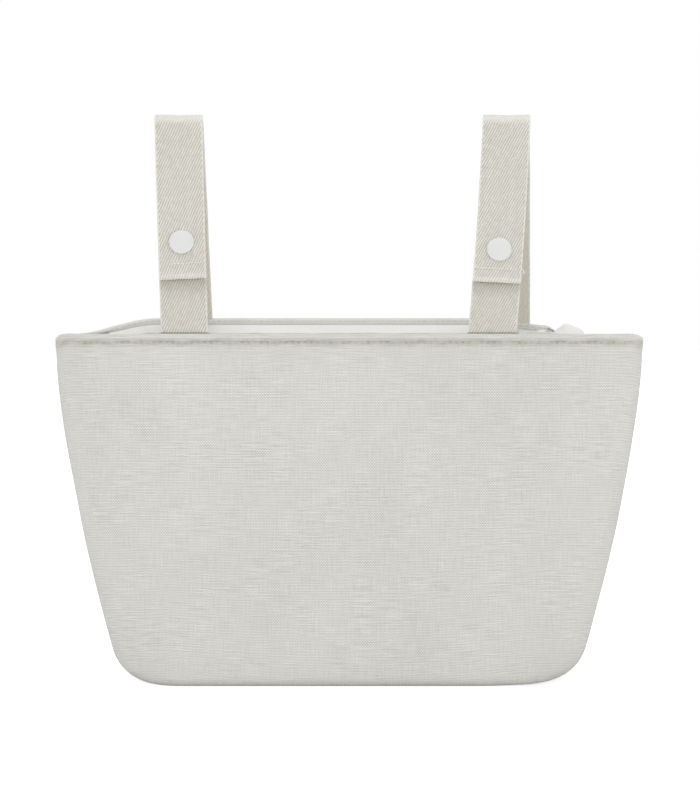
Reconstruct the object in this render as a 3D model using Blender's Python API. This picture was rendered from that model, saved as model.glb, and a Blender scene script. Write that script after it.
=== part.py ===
"""Organizer bag for a pram handle: a padded zip-top tub with two snap-fastened webbing straps.

Metres, +Z up. The bag stands on z = 0 with its front towards -Y, and the origin is under its middle.
Every layer of the tub is the same skin, set in by its own depth, so the layers follow each other.
"""
import math

import bmesh
import bpy
from mathutils import Vector

# Tub, measured outside
BODY_HEIGHT = 0.2163
RIM_WIDTH = 0.359
BASE_WIDTH = 0.280
SIDE_BOW = 0.0060
RIM_DEPTH = 0.115
BASE_DEPTH = 0.118
WALL_BULGE = 0.003
FRONT_CORNER_RADIUS = 0.028
BACK_CORNER_RADIUS = 0.046
BASE_CORNER_MARGIN = 0.014
SIDE_FOOT_RADIUS = 0.025
LONG_FOOT_RADIUS = 0.009
BASE_SEAM_MARGIN = 0.030

# Layers and clearances
GAP = 0.0003
OUTER_THICKNESS = 0.0008
PADDING_THICKNESS = 0.0022
LINING_THICKNESS = 0.0008
RIM_HEM = 0.006

# Straps
STRAP_WIDTH = 0.0285
STRAP_THICKNESS = 0.0017
STRAP_RISE = 0.129
STRAP_BEND = 0.009
STRAP_ROOT = 0.014
LAP_TO_SNAP = 0.002
STUB_PAST_SNAP = 0.014
LEFT_STRAP = {"near": -0.0995, "top": -0.1046, "far": -0.1001, "fold": 0.0298, "snap": 0.0526}
RIGHT_STRAP = {"near": 0.0864, "top": 0.0963, "far": 0.0990, "fold": 0.0290, "snap": 0.0483}

# Snap fasteners
CAP_RADIUS = 0.0075
CAP_HEIGHT = 0.0020
SNAP_POST_RADIUS = 0.0015
SNAP_RING_RADIUS = 0.0055
STUD_FLANGE = 0.0005
STUD_RADIUS = 0.0020
BACK_CAP_RADIUS = 0.0065
BACK_CAP_HEIGHT = 0.0012

# Zip panel, set down inside the rim
FACING_DROP = 0.0041
FACING_THICKNESS = 0.0008
FACING_PAST_COIL = 0.0155
NOTCH_TAPER = 0.001
ZIP_DROP = 0.009
TAPE_THICKNESS = 0.0005
TAPE_LAP = 0.006
TAPE_PAST_COIL = 0.0125
COIL_WIDTH = 0.0024
COIL_HEIGHT = 0.0020
COIL_SPLIT = 0.0012
COIL_LEFT_END = -0.128
COIL_RIGHT_END = 0.124
STOP_LENGTH = 0.0014
TAB_SIDE_MARGIN = 0.0005
TAB_THICKNESS = 0.0006
TAB_END_ROOM = 0.0025
RIGHT_TAB_CREST = 0.0077
RIGHT_TAB_END = 0.0024
LEFT_TAB_CREST = 0.0002
LEFT_TAB_END = 0.0001

# Zip slider and pull
SLIDER_LENGTH = 0.011
SLIDER_FLANGE = 0.0012
SLIDER_PLATE = 0.0009
SLIDER_CLEARANCE = 0.0004
SLIDER_SLOT_ROOM = 0.00035
SLIDER_SIDE_ROOM = 0.001
SLIDER_POST_LENGTH = 0.0035
BAIL_WIDTH = 0.0018
BAIL_BAR = 0.0010
BAIL_EXTRA_LENGTH = 0.0012
PULL_ARM = 0.0020
PULL_LENGTH = 0.026
PULL_THICKNESS = 0.0012
PULL_BAR = 0.0010

# Slip pocket on the back lining, sewn into two compartments
POCKET_HALF_WIDTH = 0.100
POCKET_BOTTOM = 0.060
POCKET_HEIGHT = 0.090
POCKET_BULGE = 0.0085
POCKET_THICKNESS = 0.0007

# Mesh fineness
CORNER_STEPS = 5
PANEL_STEPS = 8
BASE_STEPS = 1
FOOT_STEPS = 4
WALL_STEPS = 6
BEND_STEPS = 8
FOLD_STEPS = 6
LEG_STEPS = 3
ROUND_STEPS = 20
ROLL_ANGLES = (45, 90, 135)
POCKET_COLUMNS = 16
POCKET_ROWS = 5
SLOPE_STEP = 0.001
SMOOTH_ANGLE = 50

# Sizes that follow from the ones above
WALL_THICKNESS = OUTER_THICKNESS + GAP + PADDING_THICKNESS + GAP + LINING_THICKNESS
ROLL_RADIUS = WALL_THICKNESS / 2
ROLL_BASE = BODY_HEIGHT - ROLL_RADIUS
HEM_EDGE = BODY_HEIGHT - RIM_HEM
LINING_TOP = HEM_EDGE - GAP
PADDING_OUT = OUTER_THICKNESS + GAP
PADDING_IN = PADDING_OUT + PADDING_THICKNESS
LINING_OUT = PADDING_IN + GAP
BASE_CORNER_RADIUS = SIDE_FOOT_RADIUS + BASE_CORNER_MARGIN
SNAP_SPACE = STRAP_THICKNESS + 3 * GAP
LEG_TO_STUB = STRAP_THICKNESS + SNAP_SPACE
SOCKET_THICKNESS = SNAP_SPACE - STUD_FLANGE - 3 * GAP
SOCKET_BORE_RADIUS = STUD_RADIUS + GAP
ZIP_HEIGHT = BODY_HEIGHT - ZIP_DROP
COIL_OUTER = COIL_SPLIT / 2 + COIL_WIDTH
SLIDER_WIDTH = 2 * (COIL_OUTER + GAP + SLIDER_FLANGE)
SLIDER_TAPE_SLOT = TAPE_THICKNESS + 2 * SLIDER_SLOT_ROOM
ZIP_OPENING = SLIDER_WIDTH + 2 * SLIDER_SIDE_ROOM
TAPE_OUTER = ZIP_OPENING / 2 + TAPE_LAP
TAB_WIDTH = 2 * (TAPE_OUTER - TAB_SIDE_MARGIN)
TAB_LENGTH = FACING_PAST_COIL + TAB_END_ROOM
PULL_HOLE_HEIGHT = math.hypot(PULL_BAR, PULL_THICKNESS) + 2 * GAP
BAIL_LENGTH = PULL_HOLE_HEIGHT + BAIL_EXTRA_LENGTH + 2 * BAIL_BAR
PULL_EYE_WIDTH = BAIL_WIDTH + 4 * GAP
PULL_WIDTH = PULL_EYE_WIDTH + 2 * PULL_ARM
FRONT, BACK = -1, 1


def clear_scene():
    for item in list(bpy.data.objects):
        bpy.data.objects.remove(item, do_unlink=True)


def make_material(name, colour, roughness, metallic=0.0):
    material = bpy.data.materials.new(name)
    material.use_nodes = True
    shader = material.node_tree.nodes["Principled BSDF"]
    shader.inputs["Base Color"].default_value = (*colour, 1.0)
    shader.inputs["Roughness"].default_value = roughness
    shader.inputs["Metallic"].default_value = metallic
    material.diffuse_color = (*colour, 1.0)
    return material


def add_object(name, mesh, material, location=(0, 0, 0), smooth=False):
    item = bpy.data.objects.new(name, mesh)
    bpy.context.scene.collection.objects.link(item)
    item.location = location
    mesh.materials.append(material)
    if smooth:
        mesh.shade_smooth()
        mesh.set_sharp_from_angle(angle=math.radians(SMOOTH_ANGLE))
    return item


def closed_mesh(name, work):
    """Turn a bmesh into a mesh whose faces all point out."""
    bmesh.ops.recalc_face_normals(work, faces=work.faces)
    mesh = bpy.data.meshes.new(name)
    work.to_mesh(mesh)
    work.free()
    return mesh


def lofted(name, sections):
    """Solid through a row of closed sections, all with the same number of points.

    Bent faces are split along their shorter diagonal, so nested layers bend the same way.
    """
    work = bmesh.new()
    rings = [[work.verts.new(point) for point in section] for section in sections]
    for ring, following in zip(rings, rings[1:]):
        for i in range(len(ring)):
            j = (i + 1) % len(ring)
            work.faces.new((ring[i], ring[j], following[j], following[i]))
    sides = list(work.faces)
    bmesh.ops.triangulate(work, faces=sides, quad_method="SHORT_EDGE", ngon_method="BEAUTY")
    work.faces.new(rings[0])
    work.faces.new(list(reversed(rings[-1])))
    return closed_mesh(name, work)


def turned(name, profile, ring=False):
    """Solid turned round Z from (radius, height) points; ring closes the profile on itself."""
    work = bmesh.new()
    turn = [2 * math.pi * i / ROUND_STEPS for i in range(ROUND_STEPS)]
    rows = []
    for radius, height in profile:
        if radius == 0:
            rows.append([work.verts.new((0, 0, height))])
            continue
        rows.append([work.verts.new((radius * math.cos(a), radius * math.sin(a), height)) for a in turn])
    pairs = list(zip(rows, rows[1:])) + ([(rows[-1], rows[0])] if ring else [])
    for low, high in pairs:
        for i in range(ROUND_STEPS):
            j = (i + 1) % ROUND_STEPS
            corners = [low[i % len(low)], low[j % len(low)], high[j % len(high)], high[i % len(high)]]
            work.faces.new(list(dict.fromkeys(corners)))
    return closed_mesh(name, work)


def box_mesh(name, low, high):
    """Plain box between two corners."""
    lower = [(x, y, low[2]) for x, y in ((low[0], low[1]), (high[0], low[1]), (high[0], high[1]),
                                         (low[0], high[1]))]
    return lofted(name, [lower, [(x, y, high[2]) for x, y, _ in lower]])


def add_boolean(item, operation, mesh, location=(0, 0, 0), rotation=(0, 0, 0)):
    """Cut or join a guide shape, which is itself left out of the model."""
    guide = bpy.data.objects.new(mesh.name, mesh)
    bpy.context.scene.collection.objects.link(guide)
    guide.location = location
    guide.rotation_euler = rotation
    guide.hide_render = True
    guide.display_type = "WIRE"
    change = item.modifiers.new(mesh.name, "BOOLEAN")
    change.operation = operation
    change.solver = "EXACT"
    change.object = guide
    return guide


# Skin of the tub

def half_width(z):
    share = z / BODY_HEIGHT
    straight = BASE_WIDTH + (RIM_WIDTH - BASE_WIDTH) * share
    return straight / 2 + 4 * SIDE_BOW * share * (1 - share)


def half_depth(z):
    share = z / BODY_HEIGHT
    straight = BASE_DEPTH + (RIM_DEPTH - BASE_DEPTH) * share
    return straight / 2 + 4 * WALL_BULGE * share * (1 - share)


def corner_radius(z, side):
    rim = FRONT_CORNER_RADIUS if side == FRONT else BACK_CORNER_RADIUS
    return BASE_CORNER_RADIUS + (rim - BASE_CORNER_RADIUS) * z / BODY_HEIGHT


def panel_columns():
    """Columns of one half of the tub, from the right side seam round to the left one."""
    turns = [math.pi / 2 * i / CORNER_STEPS for i in range(CORNER_STEPS + 1)]
    right = [("seam", 1, 0.0)] + [("corner", 1, turn) for turn in turns]
    middle = [("panel", 0, i / PANEL_STEPS) for i in range(1, PANEL_STEPS)]
    left = [("corner", -1, turn) for turn in reversed(turns)] + [("seam", -1, 0.0)]
    return right + middle + left


def plan_point(column, side, z):
    """Outside point of a column at a height, in plan, and its outward direction."""
    kind, hand, value = column
    width, depth, radius = half_width(z), half_depth(z), corner_radius(z, side)
    if kind == "seam":
        return Vector((hand * width, side * GAP / 2)), Vector((hand, 0))
    if kind == "corner":
        out = Vector((hand * math.cos(value), side * math.sin(value)))
        return Vector((hand * (width - radius), side * (depth - radius))) + out * radius, out
    return Vector(((width - radius) * (1 - 2 * value), side * depth)), Vector((0, side))


def wall_tilt(column, side, z):
    """Angle by which the wall leans outwards as it rises."""
    low, out = plan_point(column, side, z - SLOPE_STEP)
    high, _ = plan_point(column, side, z + SLOPE_STEP)
    return math.atan((high - low).dot(out) / (2 * SLOPE_STEP))


def wall_point(column, side, z, inset):
    point, out = plan_point(column, side, z)
    tilt = wall_tilt(column, side, z)
    inward = point - out * inset * math.cos(tilt)
    return Vector((inward.x, inward.y, z + inset * math.sin(tilt)))


def foot_radius(out):
    return LONG_FOOT_RADIUS + (SIDE_FOOT_RADIUS - LONG_FOOT_RADIUS) * out.x ** 2


def skin_path(column, side, inset, place):
    """Points from the bottom seam, round the foot and up the wall to the lining's top."""
    out = plan_point(column, side, 0)[1]
    radius = foot_radius(out)
    start = radius * (1 - math.sin(wall_tilt(column, side, radius)))
    tilt = wall_tilt(column, side, start)
    centre = plan_point(column, side, start)[0] - out * radius * math.cos(tilt)
    seam_half = BASE_WIDTH / 2 - SIDE_FOOT_RADIUS - BASE_SEAM_MARGIN
    seam = Vector((seam_half * (1 - 2 * place), side * GAP / 2))
    points = []
    for i in range(BASE_STEPS):
        flat = seam.lerp(centre, i / BASE_STEPS)
        points.append(Vector((flat.x, flat.y, inset)))
    for i in range(FOOT_STEPS):
        angle = math.pi / 2 + (tilt - math.pi / 2) * i / FOOT_STEPS
        flat = centre + out * (radius - inset) * math.cos(angle)
        points.append(Vector((flat.x, flat.y, radius - (radius - inset) * math.sin(angle))))
    for i in range(WALL_STEPS + 1):
        z = start + (LINING_TOP - start) * i / WALL_STEPS
        points.append(wall_point(column, side, z, inset))
    return points


def rim_roll(column, side, radius, angles):
    """Arc over the top of the wall, round the middle of its thickness."""
    points = []
    for angle in angles:
        turn = math.radians(angle)
        rise = radius * math.sin(turn)
        points.append(wall_point(column, side, ROLL_BASE + rise, ROLL_RADIUS - radius * math.cos(turn)))
    return points


def outer_section(column, side, place):
    """Outer cloth: up the outside, over the rim and down inside to the edge of the hem."""
    inner_radius = ROLL_RADIUS - OUTER_THICKNESS
    hem_back = WALL_THICKNESS - OUTER_THICKNESS
    outside = skin_path(column, side, 0, place) + [wall_point(column, side, ROLL_BASE, 0)]
    over = rim_roll(column, side, ROLL_RADIUS, ROLL_ANGLES)
    hem = [wall_point(column, side, z, inset) for z, inset in (
        (ROLL_BASE, WALL_THICKNESS), (HEM_EDGE, WALL_THICKNESS), (HEM_EDGE, hem_back), (ROLL_BASE, hem_back))]
    under = rim_roll(column, side, inner_radius, reversed(ROLL_ANGLES))
    inside = skin_path(column, side, OUTER_THICKNESS, place)
    inside.append(wall_point(column, side, ROLL_BASE, OUTER_THICKNESS))
    return outside + over + hem + under + inside[::-1]


def padding_section(column, side, place):
    outside = skin_path(column, side, PADDING_OUT, place)
    crown = ROLL_BASE + PADDING_THICKNESS / 2
    top = [wall_point(column, side, ROLL_BASE, PADDING_OUT), wall_point(column, side, crown, ROLL_RADIUS),
           wall_point(column, side, ROLL_BASE, PADDING_IN)]
    return outside + top + skin_path(column, side, PADDING_IN, place)[::-1]


def lining_section(column, side, place):
    inner = skin_path(column, side, LINING_OUT + LINING_THICKNESS, place)
    return skin_path(column, side, LINING_OUT, place) + inner[::-1]


def add_tub_layer(name, section, side, material):
    columns = panel_columns()
    last = len(columns) - 1
    sections = [section(column, side, i / last) for i, column in enumerate(columns)]
    return add_object(name, lofted(name, sections), material, smooth=True)


def inner_depth(x, z, side, inset):
    """How far the tub reaches in Y from its middle, at a place along X and a height."""
    edge = [wall_point(column, side, z, inset) for column in panel_columns()]
    for right, left in zip(edge, edge[1:]):
        if left.x <= x < right.x:
            return abs(right.lerp(left, (right.x - x) / (right.x - left.x)).y)
    return 0.0


def add_pocket(material):
    """Slip pocket on the back lining: one sheet, sewn down at its sides, bottom and middle."""
    sections = []
    for i in range(POCKET_COLUMNS + 1):
        share = i / POCKET_COLUMNS
        x = POCKET_HALF_WIDTH * (2 * share - 1)
        lobe = math.sqrt(abs(math.sin(2 * math.pi * share)))
        heights = [j / POCKET_ROWS for j in range(POCKET_ROWS + 1)]
        back = []
        for rise in heights:
            z = POCKET_BOTTOM + POCKET_HEIGHT * rise
            away = GAP + POCKET_BULGE * lobe * math.sqrt(rise)
            back.append(Vector((x, inner_depth(x, z, BACK, WALL_THICKNESS) - away, z)))
        front = [point - Vector((0, POCKET_THICKNESS, 0)) for point in back]
        sections.append(back + front[::-1])
    return add_object("inner_pocket", lofted("inner_pocket", sections), material, smooth=True)


# Straps

def strap_root(side):
    """Middle of the webbing where it rises past the rim, as (y, z)."""
    depth = half_depth(BODY_HEIGHT) - WALL_THICKNESS - GAP - STRAP_THICKNESS / 2
    return Vector((side * depth, BODY_HEIGHT))


def strap_root_end(side):
    """Sewn end of the webbing, down inside the wall."""
    z = BODY_HEIGHT - STRAP_ROOT
    return Vector((side * (half_depth(z) - WALL_THICKNESS - GAP - STRAP_THICKNESS / 2), z))


def bend_centre():
    return Vector((0, BODY_HEIGHT + STRAP_RISE - STRAP_THICKNESS / 2 - STRAP_BEND))


def leg_angle(side):
    """Direction that a leg faces, so that it leaves its root and meets the top bend smoothly."""
    offset = LEG_TO_STUB if side == FRONT else 0
    across = bend_centre() - strap_root(side)
    swing = math.acos((offset - STRAP_BEND) / across.length)
    return math.atan2(across.y, across.x) - side * swing


def facing(angle):
    return Vector((math.cos(angle), math.sin(angle)))


def leg_point(height, depth=0.0):
    """Point on the front leg at a height over the rim, moved back by depth."""
    out = facing(leg_angle(FRONT))
    down = facing(leg_angle(FRONT) + math.pi / 2)
    start = bend_centre() + out * STRAP_BEND
    along = (start.y - BODY_HEIGHT - height) / -down.y
    return start + down * along - out * depth


def thickened(path, thickness):
    """The two edges of a line of points in a plane, mitred where it bends."""
    edges = []
    for i, point in enumerate(path):
        after = (path[min(i + 1, len(path) - 1)] - path[min(i, len(path) - 2)]).normalized()
        before = (path[max(i, 1)] - path[max(i - 1, 0)]).normalized()
        heading = (before + after).normalized()
        across = Vector((-heading.y, heading.x))
        reach = thickness / 2 / across.dot(Vector((-after.y, after.x)))
        edges.append((point + across * reach, point - across * reach))
    return edges


def strap_x(strap, side, z):
    """The legs drift sideways as they rise, because the straps are sewn on a little askew."""
    share = max(0.0, (z - BODY_HEIGHT) / STRAP_RISE)
    foot = strap["near"] if side == FRONT else strap["far"]
    return foot + (strap["top"] - foot) * share


def webbing(name, path, strap):
    """Flat webbing along a path of (y, z) points, its width along X."""
    sections = []
    for middle, (left, right) in zip(path, thickened(path, STRAP_THICKNESS)):
        x = strap_x(strap, FRONT if middle.x < 0 else BACK, middle.y)
        low, high = x - STRAP_WIDTH / 2, x + STRAP_WIDTH / 2
        sections.append([(low, *left), (high, *left), (high, *right), (low, *right)])
    return lofted(name, sections)


def strap_path(strap):
    """Back root, back leg, top bend, front leg, folded end and the lap behind it."""
    back, front = leg_angle(BACK), leg_angle(FRONT)
    centre = bend_centre()
    path = [strap_root_end(BACK), strap_root(BACK)]
    leg_top = centre + facing(back) * STRAP_BEND
    path += [path[1].lerp(leg_top, i / LEG_STEPS) for i in range(1, LEG_STEPS)]
    path += [centre + facing(back + (front - back) * i / BEND_STEPS) * STRAP_BEND
             for i in range(BEND_STEPS + 1)]
    fold_radius = (STRAP_THICKNESS + GAP) / 2
    down = facing(front + math.pi / 2)
    fold_depth = fold_radius + STRAP_THICKNESS / 2
    leg_end = leg_point(strap["fold"]) - down * fold_depth
    lap = (strap["snap"] - strap["fold"]) / -down.y - SNAP_RING_RADIUS - LAP_TO_SNAP - fold_depth
    leg_start = path[-1]
    path += [leg_start.lerp(leg_end, i / LEG_STEPS) for i in range(1, LEG_STEPS)]
    fold_centre = leg_end - facing(front) * fold_radius
    path += [fold_centre + facing(front + math.pi * i / FOLD_STEPS) * fold_radius
             for i in range(FOLD_STEPS + 1)]
    return path + [path[-1] - down * lap]


def stub_path(strap):
    """Short webbing sewn inside the front rim, behind the strap's folded end."""
    top = leg_point(strap["snap"] + STUB_PAST_SNAP, LEG_TO_STUB)
    return [strap_root_end(FRONT), strap_root(FRONT), strap_root(FRONT).lerp(top, 1 / 2), top]


def snap_rotation():
    out = facing(leg_angle(FRONT))
    return math.atan2(-out.x, out.y), 0, 0


def snap_place(strap, depth):
    """World place on the snap's axis, at a depth behind the front leg's middle."""
    point = leg_point(strap["snap"], depth)
    centre = leg_point(strap["snap"])
    return strap_x(strap, FRONT, centre.y), point.x, point.y


def add_snap_piece(name, profile, strap, depth, material, ring=False):
    item = add_object(name, turned(name, profile, ring), material, snap_place(strap, depth), smooth=True)
    item.rotation_euler = snap_rotation()
    return item


def punch_hole(item, strap, depth):
    """Hole through the webbing for the snap's post."""
    radius = SNAP_POST_RADIUS + GAP
    reach = STRAP_THICKNESS
    mesh = turned(item.name + "_hole", [(0, -reach), (radius, -reach), (radius, reach), (0, reach)])
    add_boolean(item, "DIFFERENCE", mesh, snap_place(strap, depth), snap_rotation())


def add_strap(hand, strap, webbing_material, cap_material, metal):
    face = STRAP_THICKNESS / 2 + GAP
    loop = add_object("strap_" + hand, webbing("strap_" + hand, strap_path(strap), strap), webbing_material)
    punch_hole(loop, strap, 0)
    stub_name = "strap_stub_" + hand
    stub = add_object(stub_name, webbing(stub_name, stub_path(strap), strap), webbing_material)
    punch_hole(stub, strap, LEG_TO_STUB)

    post_end = -(GAP + STRAP_THICKNESS + GAP)
    cap = [(0, post_end), (SNAP_POST_RADIUS, post_end), (SNAP_POST_RADIUS, 0), (CAP_RADIUS * 0.94, 0),
           (CAP_RADIUS, CAP_HEIGHT * 0.25), (CAP_RADIUS * 0.96, CAP_HEIGHT * 0.6),
           (CAP_RADIUS * 0.84, CAP_HEIGHT * 0.86), (CAP_RADIUS * 0.5, CAP_HEIGHT * 0.97), (0, CAP_HEIGHT)]
    add_snap_piece("snap_cap_" + hand, cap, strap, -face, cap_material)

    socket = [(SOCKET_BORE_RADIUS, 0), (SNAP_RING_RADIUS * 0.9, 0), (SNAP_RING_RADIUS, -SOCKET_THICKNESS / 2),
              (SNAP_RING_RADIUS * 0.9, -SOCKET_THICKNESS), (SOCKET_BORE_RADIUS, -SOCKET_THICKNESS)]
    add_snap_piece("snap_socket_" + hand, socket, strap, face, metal, ring=True)

    stud = [(0, 0), (SNAP_RING_RADIUS, 0), (SNAP_RING_RADIUS * 0.94, STUD_FLANGE),
            (STUD_RADIUS * 0.9, STUD_FLANGE), (STUD_RADIUS, STUD_FLANGE + SOCKET_THICKNESS * 0.7),
            (STUD_RADIUS * 0.8, STUD_FLANGE + SOCKET_THICKNESS), (0, STUD_FLANGE + SOCKET_THICKNESS)]
    add_snap_piece("snap_stud_" + hand, stud, strap, LEG_TO_STUB - face, metal)

    post_top = GAP + STRAP_THICKNESS
    back = [(0, -BACK_CAP_HEIGHT), (BACK_CAP_RADIUS * 0.8, -BACK_CAP_HEIGHT * 0.9),
            (BACK_CAP_RADIUS, -BACK_CAP_HEIGHT * 0.4), (BACK_CAP_RADIUS * 0.95, 0), (SNAP_POST_RADIUS, 0),
            (SNAP_POST_RADIUS, post_top), (0, post_top)]
    add_snap_piece("snap_back_" + hand, back, strap, LEG_TO_STUB + face, cap_material)


# Zip panel

def facing_edge(x, z, side):
    """Edge of the facing against the wall, with a notch round each strap's sewn root."""
    depth = inner_depth(x, z, side, WALL_THICKNESS + GAP)
    key = "near" if side == FRONT else "far"
    for strap in (LEFT_STRAP, RIGHT_STRAP):
        if abs(x - strap[key]) < STRAP_WIDTH / 2 + GAP + NOTCH_TAPER / 2:
            return depth - STRAP_THICKNESS - GAP
    return depth


def facing_stations(side):
    """Places along X where the facing's section is taken: even steps, and both sides of each notch."""
    key = "near" if side == FRONT else "far"
    start, end = COIL_LEFT_END - FACING_PAST_COIL, COIL_RIGHT_END + FACING_PAST_COIL
    stations = [start + (end - start) * i / PANEL_STEPS for i in range(PANEL_STEPS + 1)]
    for strap in (LEFT_STRAP, RIGHT_STRAP):
        reach = STRAP_WIDTH / 2 + GAP
        stations = [x for x in stations if abs(x - strap[key]) > reach + 2 * NOTCH_TAPER]
        for edge in (-reach, reach):
            stations += [strap[key] + edge, strap[key] + edge + math.copysign(NOTCH_TAPER, edge)]
    return sorted(stations)


def add_facing(name, side, material):
    level = ZIP_HEIGHT + TAPE_THICKNESS / 2 + GAP
    high = BODY_HEIGHT - FACING_DROP - FACING_THICKNESS
    sections = []
    for x in facing_stations(side):
        under = [(ZIP_OPENING / 2, level), (TAPE_OUTER + GAP, level), (facing_edge(x, high, side), high)]
        lower = [(x, side * y, z) for y, z in under]
        upper = [(x, side * y, z + FACING_THICKNESS) for y, z in reversed(under)]
        sections.append(lower + upper)
    return add_object(name, lofted(name, sections), material)


def add_zip_side(hand, side, tape_material, coil_material, metal):
    """Tape, coil and top stop of one side of the zip."""
    half = TAPE_THICKNESS / 2
    edges = sorted((side * (COIL_OUTER + GAP), side * TAPE_OUTER))
    tape = box_mesh("zip_tape_" + hand, (COIL_LEFT_END - TAPE_PAST_COIL, edges[0], ZIP_HEIGHT - half),
                    (COIL_RIGHT_END + TAPE_PAST_COIL, edges[1], ZIP_HEIGHT + half))
    add_object("zip_tape_" + hand, tape, tape_material)

    middle = side * (COIL_SPLIT + COIL_WIDTH) / 2
    for name, start, end, material in (
            ("zip_coil_" + hand, COIL_LEFT_END, COIL_RIGHT_END, coil_material),
            ("zip_top_stop_" + hand, COIL_RIGHT_END + GAP, COIL_RIGHT_END + GAP + STOP_LENGTH, metal)):
        turn = [math.radians(45 * i + 22.5) for i in range(8)]
        sections = [[(x, middle + COIL_WIDTH / 2 * math.cos(a) / math.cos(math.pi / 8),
                      ZIP_HEIGHT + COIL_HEIGHT / 2 * math.sin(a) / math.cos(math.pi / 8)) for a in turn]
                    for x in (start, end)]
        add_object(name, lofted(name, sections), material)


def add_bottom_stop(metal):
    end = COIL_LEFT_END - GAP
    mesh = box_mesh("zip_bottom_stop", (end - STOP_LENGTH, -COIL_OUTER, ZIP_HEIGHT - COIL_HEIGHT / 2),
                    (end, COIL_OUTER, ZIP_HEIGHT + COIL_HEIGHT / 2))
    add_object("zip_bottom_stop", mesh, metal)


def add_end_tab(hand, direction, start, crest, end, material):
    """Cloth tab folded round the end of the zip; crest and end are how far its top stands up."""
    half_width, sheet = TAB_WIDTH / 2, TAB_THICKNESS / 2
    over = ZIP_HEIGHT + TAPE_THICKNESS / 2 + GAP + FACING_THICKNESS + GAP + sheet
    under = ZIP_HEIGHT - TAPE_THICKNESS / 2 - GAP - sheet
    shape = [(0, under), (0.92, under), (1, (under + over) / 2), (0.97, over + end),
             (0.70, over + (end + crest) / 2), (0.40, over + crest), (0.18, over + crest / 2), (0, over)]
    path = [Vector((start + TAB_LENGTH * share, height)) for share, height in shape]
    sections = []
    for left, right in thickened(path, TAB_THICKNESS):
        corners = ((left, -half_width), (left, half_width), (right, half_width), (right, -half_width))
        sections.append([(direction * edge.x, y, edge.y) for edge, y in corners])
    add_object("zip_end_tab_" + hand, lofted("zip_end_tab_" + hand, sections), material, smooth=True)


def add_slider(metal):
    """Slider body round the coils, with a post between them and a bail on top."""
    inner_height = COIL_HEIGHT / 2 + SLIDER_CLEARANCE
    top = inner_height + SLIDER_PLATE
    half_length = SLIDER_LENGTH / 2
    post_half = COIL_SPLIT / 2 - GAP
    location = (COIL_RIGHT_END - GAP - half_length, 0, ZIP_HEIGHT)
    corner = Vector((half_length, SLIDER_WIDTH / 2, top))
    slider = add_object("zip_slider", box_mesh("zip_slider", -corner, corner), metal, location)
    past = SLIDER_LENGTH
    post_start = half_length - SLIDER_POST_LENGTH
    cuts = []
    for outer, height in ((COIL_OUTER + GAP, inner_height), (SLIDER_WIDTH, SLIDER_TAPE_SLOT / 2)):
        cuts.append(((-past, -outer, -height), (post_start, outer, height)))
        for side in (FRONT, BACK):
            low, high = sorted((side * post_half, side * outer))
            cuts.append(((0, low, -height), (past, high, height)))
    for i, (low, high) in enumerate(cuts):
        add_boolean(slider, "DIFFERENCE", box_mesh("slider_cut_%d" % i, low, high), location)
    bail_top = top + PULL_HOLE_HEIGHT + BAIL_BAR
    half_bail = BAIL_WIDTH / 2
    bail = box_mesh("slider_bail", (-BAIL_LENGTH / 2, -half_bail, top - SLIDER_PLATE / 2),
                    (BAIL_LENGTH / 2, half_bail, bail_top))
    add_boolean(slider, "UNION", bail, location)
    hole_half = BAIL_LENGTH / 2 - BAIL_BAR
    hole = box_mesh("slider_bail_hole", (-hole_half, -BAIL_WIDTH, top),
                    (hole_half, BAIL_WIDTH, bail_top - BAIL_BAR))
    add_boolean(slider, "DIFFERENCE", hole, location)
    return slider, top + PULL_HOLE_HEIGHT / 2


def add_pull(slider, hinge_height, metal):
    """Flat pull that turns on its own end bar inside the bail; it lies over the closed zip."""
    half = PULL_WIDTH / 2
    start = PULL_BAR / 2
    turn = [math.pi / 2 + math.pi * i / BEND_STEPS for i in range(BEND_STEPS + 1)]
    round_end = [(-(PULL_LENGTH - half) + half * math.cos(a), half * math.sin(a)) for a in turn]
    outline = [(start, -half), (start, half)] + round_end
    sections = [[(x, y, z) for x, y in outline] for z in (-PULL_THICKNESS / 2, PULL_THICKNESS / 2)]
    pull = add_object("zip_pull", lofted("zip_pull", sections), metal, (0, 0, hinge_height))
    pull.parent = slider
    eye = PULL_EYE_WIDTH / 2
    reach = math.hypot(BAIL_LENGTH / 2, PULL_HOLE_HEIGHT / 2 + BAIL_BAR) + 2 * GAP
    mesh = box_mesh("pull_eye", (-reach, -eye, -PULL_THICKNESS), (-start, eye, PULL_THICKNESS))
    guide = add_boolean(pull, "DIFFERENCE", mesh, (0, 0, hinge_height))
    guide.parent = slider
    return pull


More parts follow.
